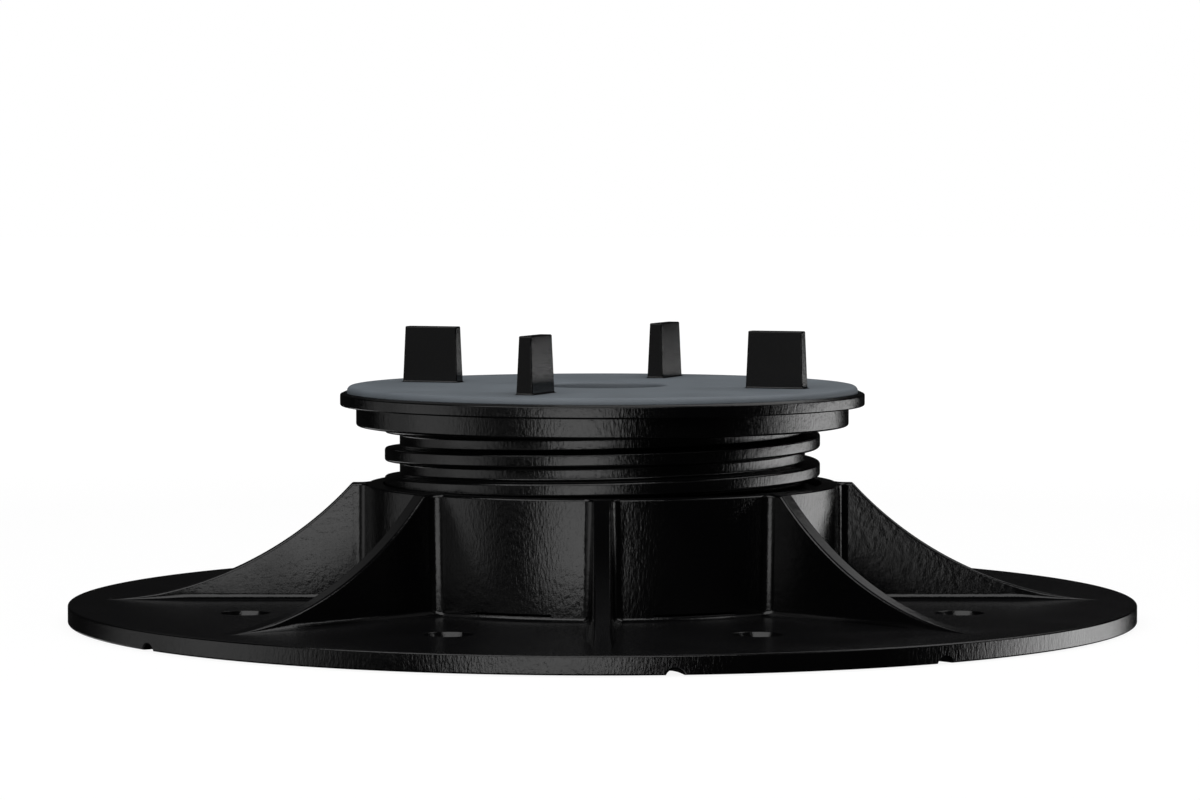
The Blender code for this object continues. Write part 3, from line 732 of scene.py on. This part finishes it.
class Network:
    """Adds nodes to the tree of one material or world, and links them."""

    def __init__(self, owner):
        owner.use_nodes = True
        self.owner = owner
        self.nodes = owner.node_tree.nodes
        self.links = owner.node_tree.links

    def add(self, kind, **inputs):
        """A new node. An input is a value, or another node's output that is linked to it."""
        node = self.nodes.new(kind)
        for name, value in inputs.items():
            self.set(node, name.replace("_", " "), value)
        return node

    def set(self, node, name, value):
        """Sets or links one input, by its name or its number."""
        if isinstance(value, bpy.types.NodeSocket):
            self.links.new(value, node.inputs[name])
        else:
            node.inputs[name].default_value = value

    def ordered(self, kind, values, operation=None):
        """A new node with its inputs given in their order."""
        node = self.nodes.new(kind)
        if operation:
            node.operation = operation
        for i, value in enumerate(values):
            self.set(node, i, value)
        return node

    def noise(self, place, scale, detail):
        return self.add("ShaderNodeTexNoise", Vector=place, Scale=scale, Detail=detail).outputs["Fac"]

    def stretched(self, place, scale):
        return self.add("ShaderNodeMapping", Vector=place, Scale=scale).outputs["Vector"]

    def ranged(self, value, low, high, to_low, to_high):
        """A value moved from one range into another, and kept inside it."""
        limits = {"From_Min": low, "From_Max": high, "To_Min": to_low, "To_Max": to_high}
        return self.add("ShaderNodeMapRange", Value=value, **limits).outputs["Result"]

    def vector(self, operation, *values):
        return self.ordered("ShaderNodeVectorMath", values, operation)

    def math(self, operation, *values):
        return self.ordered("ShaderNodeMath", values, operation).outputs["Value"]

    def shader(self, kind, *values):
        return self.ordered(kind, values).outputs["Shader"]

    def mixed(self, factor, first, second):
        """A colour between two, by a factor."""
        node = self.add("ShaderNodeMix")
        node.data_type = "RGBA"
        self.set(node, "Factor", factor)
        self.set(node, "A", first)
        self.set(node, "B", second)
        return node.outputs["Result"]

    def bump(self, height, distance, strength=1.0, normal=None):
        """A normal bent by a height, on top of another normal if one is given."""
        node = self.add("ShaderNodeBump", Height=height, Distance=distance, Strength=strength)
        if normal is not None:
            self.set(node, "Normal", normal)
        return node.outputs["Normal"]


# Noise scales are per metre, and the depths of relief are in metres

# The noise's range that is spread between a cloud's two values
CLOUD_RANGE = (0.3, 0.7)

WALL_COLOUR = (0.0014, 0.0014, 0.0016, 1.0)
# Painted light: tops get a greyer colour, so that they read as lit from above
TOP_PAINTED_LIGHT_COLOUR = (0.005, 0.005, 0.0054, 1.0)
WALL_ROUGHNESS = (0.15, 0.22)
# How much rougher tops are
TOP_ROUGHNESS = 0.02
# The uneven skin, and how much of it turned walls have
PEEL_SCALE = 820.0
PEEL_DETAIL = 2.0
PEEL_DISTANCE = 0.000045
TURNED_PEEL = 0.9
STREAK_SCALE = 2500.0
STREAK_STRETCH = (1.0, 1.0, 0.32)
STREAK_DETAIL = 3.0
STREAK_DISTANCE = 0.000055
GRAIN_SCALE = 4200.0
GRAIN_DETAIL = 1.0
GRAIN_DISTANCE = 0.000012
CLOUD_SCALE = 60.0
CLOUD_DETAIL = 2.0
# Cosines between a surface and straight up, or the way outward from the axis, from which it counts as a top
# or as a turned wall
TOP_FROM = (0.8, 0.97)
TURNED_FROM = (0.9, 0.97)
# How much of the relief the lugs have, and the height over which it fades
LUG_RELIEF = 0.3
RELIEF_FADE = 0.4


def plastic(name):
    """Black moulded plastic: fine grain all over, and an uneven skin that shows as mottled highlights, with
    upright streaks on turned walls. Tops are duller, and painted light gives them a greyer colour, so that
    they read as lit from above. The lugs are smoother."""
    made = Network(bpy.data.materials.new(name))
    coordinates = made.add("ShaderNodeTexCoord")
    place = coordinates.outputs["Object"]
    normal = coordinates.outputs["Normal"]

    sideways = made.vector("MULTIPLY", place, (1.0, 1.0, 0.0)).outputs["Vector"]
    outward = made.vector("NORMALIZE", sideways).outputs["Vector"]
    facing = made.vector("DOT_PRODUCT", outward, normal).outputs["Value"]
    turned_wall = made.ranged(facing, *TURNED_FROM, 0.0, 1.0)
    upward = made.add("ShaderNodeSeparateXYZ", Vector=normal).outputs["Z"]
    top = made.ranged(upward, *TOP_FROM, 0.0, 1.0)
    height = made.add("ShaderNodeSeparateXYZ", Vector=place).outputs["Z"]
    fade = (PAD_TOP * METRES, (PAD_TOP + RELIEF_FADE) * METRES)
    relief = made.ranged(height, *fade, 1.0, LUG_RELIEF)

    peel = made.noise(place, PEEL_SCALE, PEEL_DETAIL)
    streak = made.noise(made.stretched(place, STREAK_STRETCH), STREAK_SCALE, STREAK_DETAIL)
    grain = made.noise(place, GRAIN_SCALE, GRAIN_DETAIL)
    cloud = made.noise(place, CLOUD_SCALE, CLOUD_DETAIL)
    peeled = made.ranged(facing, *TURNED_FROM, 1.0, TURNED_PEEL)
    bumpy = made.bump(peel, PEEL_DISTANCE, made.math("MULTIPLY", peeled, relief))
    bumpy = made.bump(streak, STREAK_DISTANCE, made.math("MULTIPLY", turned_wall, relief), bumpy)
    bumpy = made.bump(grain, GRAIN_DISTANCE, 1.0, bumpy)
    wall_rough = made.ranged(cloud, *CLOUD_RANGE, *WALL_ROUGHNESS)

    shader = made.nodes["Principled BSDF"]
    # Painted light: the colour turns greyer on tops, as if lit from above
    made.set(shader, "Base Color", made.mixed(top, WALL_COLOUR, TOP_PAINTED_LIGHT_COLOUR))
    made.set(shader, "Roughness", made.math("MULTIPLY_ADD", top, TOP_ROUGHNESS, wall_rough))
    made.set(shader, "Normal", bumpy)
    return made.owner


RUBBER_COLOUR = (0.14, 0.16, 0.18)
RUBBER_TONES = (0.93, 1.07)
RUBBER_ROUGHNESS = (0.5, 0.62)
RUBBER_GRAIN_SCALE = 2600.0
RUBBER_GRAIN_DETAIL = 2.0
RUBBER_GRAIN_DISTANCE = 0.00002
RUBBER_CLOUD_SCALE = 90.0
RUBBER_CLOUD_DETAIL = 3.0


def rubber(name):
    """Blue-grey rubber with a fine matt grain and slightly uneven tone."""
    made = Network(bpy.data.materials.new(name))
    place = made.add("ShaderNodeTexCoord").outputs["Object"]
    cloud = made.noise(place, RUBBER_CLOUD_SCALE, RUBBER_CLOUD_DETAIL)
    grain = made.noise(place, RUBBER_GRAIN_SCALE, RUBBER_GRAIN_DETAIL)
    dark, light = ((*(channel * tone for channel in RUBBER_COLOUR), 1.0) for tone in RUBBER_TONES)
    share = made.ranged(cloud, *CLOUD_RANGE, 0.0, 1.0)
    shader = made.nodes["Principled BSDF"]
    made.set(shader, "Base Color", made.mixed(share, dark, light))
    made.set(shader, "Roughness", made.ranged(cloud, *CLOUD_RANGE, *RUBBER_ROUGHNESS))
    made.set(shader, "Normal", made.bump(grain, RUBBER_GRAIN_DISTANCE))
    return made.owner


finished(make_base(), "base", "foot", plastic("foot_moulding"))
finished(make_screw(), "screw", "sleeve", plastic("screw_moulding"))
finished(make_cap(), "cap", "head", plastic("cap_moulding"))
finished(make_pad(), "pad", "head", rubber("pad_rubber_sheet"))


# Camera, in metres and radians, with lens and sensor in millimetres

CAMERA_PLACE = (-0.00045, -0.8813, 0.0871)
CAMERA_PITCH = 0.0524
CAMERA_LENS = 141.0
SENSOR_WIDTH = 36.0

camera_data = bpy.data.cameras.new("camera")
camera_data.lens = CAMERA_LENS
camera_data.sensor_width = SENSOR_WIDTH
camera = bpy.data.objects.new("camera", camera_data)
camera.location = CAMERA_PLACE
camera.rotation_euler = (math.pi / 2 - CAMERA_PITCH, 0.0, 0.0)
scene.collection.objects.link(camera)
scene.camera = camera


# Lights, in metres and degrees. An azimuth is measured from the camera's side, with the right positive.

AIM_HEIGHT = 0.03
# Blender's area light gives its energy over four times its area
ENERGY_PER_AREA = 4.0
# Name, azimuth, elevation, distance, width and height, radiance
SOFT_LIGHTS = (
    ("front_strip", -11.0, -5.0, 1.2, (0.74, 0.28), 1.6),
    ("front_soft", -40.0, 6.0, 1.2, (0.55, 0.4), 0.14),
    ("front_top", -21.0, 42.0, 1.2, (1.8, 0.9), 1.35),
    ("right_top", 92.0, 42.0, 1.2, (0.75, 0.75), 1.1),
    ("side_box", 108.0, -7.5, 1.2, (0.6, 0.28), 1.2),
    ("side_wide", 112.0, -7.5, 1.3, (1.4, 0.3), 1.5),
    ("back_top", 155.0, 45.0, 1.2, (0.9, 0.7), 0.42),
    ("left_fill", -80.0, -5.0, 1.2, (0.69, 0.34), 0.34),
    ("left_wide", -88.0, -5.0, 1.3, (1.7, 0.37), 0.25),
    ("left_top", -140.0, 42.0, 1.2, (0.9, 0.6), 0.08),
    # These two serve the views from behind
    ("back_low", -135.0, -17.0, 1.2, (0.7, 0.22), 0.9),
    ("front_low_top", 48.0, 17.0, 1.2, (0.7, 0.2), 0.15),
)


def soft_light(name, azimuth, elevation, distance, size, radiance, mirrored=True):
    """A rectangular soft light that faces the object."""
    data = bpy.data.lights.new(name, "AREA")
    data.shape = "RECTANGLE"
    data.size, data.size_y = size
    data.energy = radiance * ENERGY_PER_AREA * size[0] * size[1]
    light = bpy.data.objects.new(name, data)
    turn = math.radians(azimuth)
    rise = math.radians(elevation)
    away = Vector((math.sin(turn) * math.cos(rise), -math.cos(turn) * math.cos(rise), math.sin(rise)))
    light.location = Vector((0.0, 0.0, AIM_HEIGHT)) + away * distance
    light.rotation_mode = "QUATERNION"
    light.rotation_quaternion = away.to_track_quat("Z", "Y")
    light.visible_camera = False
    light.visible_glossy = mirrored
    scene.collection.objects.link(light)


for values in SOFT_LIGHTS:
    soft_light(*values)
soft_light("overhead_fill", 0.0, 90.0, 1.2, (1.6, 1.6), 0.8, mirrored=False)


# Floor and background, in metres

WHITE = (1.0, 1.0, 1.0, 1.0)
MIRRORED_SURROUNDINGS = 0.006
AMBIENT = 0.04
FLOOR_SIZE = 8.0
FLOOR_DROP = 0.0002
FLOOR_GLOW = (0.9, 1.0)
FLOOR_GLOW_RADII = (0.3, 0.9)
FLOOR_COLOUR = (0.12, 0.12, 0.12, 1.0)


def make_world():
    """White for camera and transmission rays. Glossy rays meet it dimmed, because the photograph's black
    plastic mirrors a dark studio, and the diffuse light of the room is low."""
    made = Network(bpy.data.worlds.new("studio"))
    path = made.add("ShaderNodeLightPath").outputs
    seen = made.math("MAXIMUM", path["Is Camera Ray"], path["Is Transmission Ray"])
    room = made.math("MULTIPLY_ADD", path["Is Glossy Ray"], MIRRORED_SURROUNDINGS - AMBIENT, AMBIENT)
    background = made.nodes["Background"]
    made.set(background, "Color", WHITE)
    made.set(background, "Strength", made.math("MAXIMUM", seen, room))
    scene.world = made.owner


def make_floor():
    """A pale floor that shows white, keeps a faint shadow, and is clear from below."""
    bm = bmesh.new()
    bmesh.ops.create_grid(bm, x_segments=1, y_segments=1, size=FLOOR_SIZE / 2)
    bmesh.ops.translate(bm, vec=(0.0, 0.0, -FLOOR_DROP), verts=bm.verts)
    floor = mesh_object("floor", bm)

    made = Network(bpy.data.materials.new("pale_floor"))
    place = made.add("ShaderNodeTexCoord").outputs["Object"]
    distance = made.vector("LENGTH", place).outputs["Value"]
    glow = made.ranged(distance, *FLOOR_GLOW_RADII, *FLOOR_GLOW)
    emission = made.add("ShaderNodeEmission", Color=WHITE, Strength=glow).outputs["Emission"]
    diffuse = made.add("ShaderNodeBsdfDiffuse", Color=FLOOR_COLOUR).outputs["BSDF"]
    both = made.shader("ShaderNodeAddShader", emission, diffuse)
    seen = made.add("ShaderNodeLightPath").outputs["Is Camera Ray"]
    lit = made.shader("ShaderNodeMixShader", seen, diffuse, both)
    clear = made.add("ShaderNodeBsdfTransparent").outputs["BSDF"]
    from_below = made.add("ShaderNodeNewGeometry").outputs["Backfacing"]
    sided = made.shader("ShaderNodeMixShader", from_below, lit, clear)
    made.set(made.nodes["Material Output"], "Surface", sided)
    made.nodes.remove(made.nodes["Principled BSDF"])
    floor.data.materials.append(made.owner)
    floor.visible_glossy = False
    floor.visible_shadow = False


make_world()
make_floor()
scene.view_settings.view_transform = "Standard"
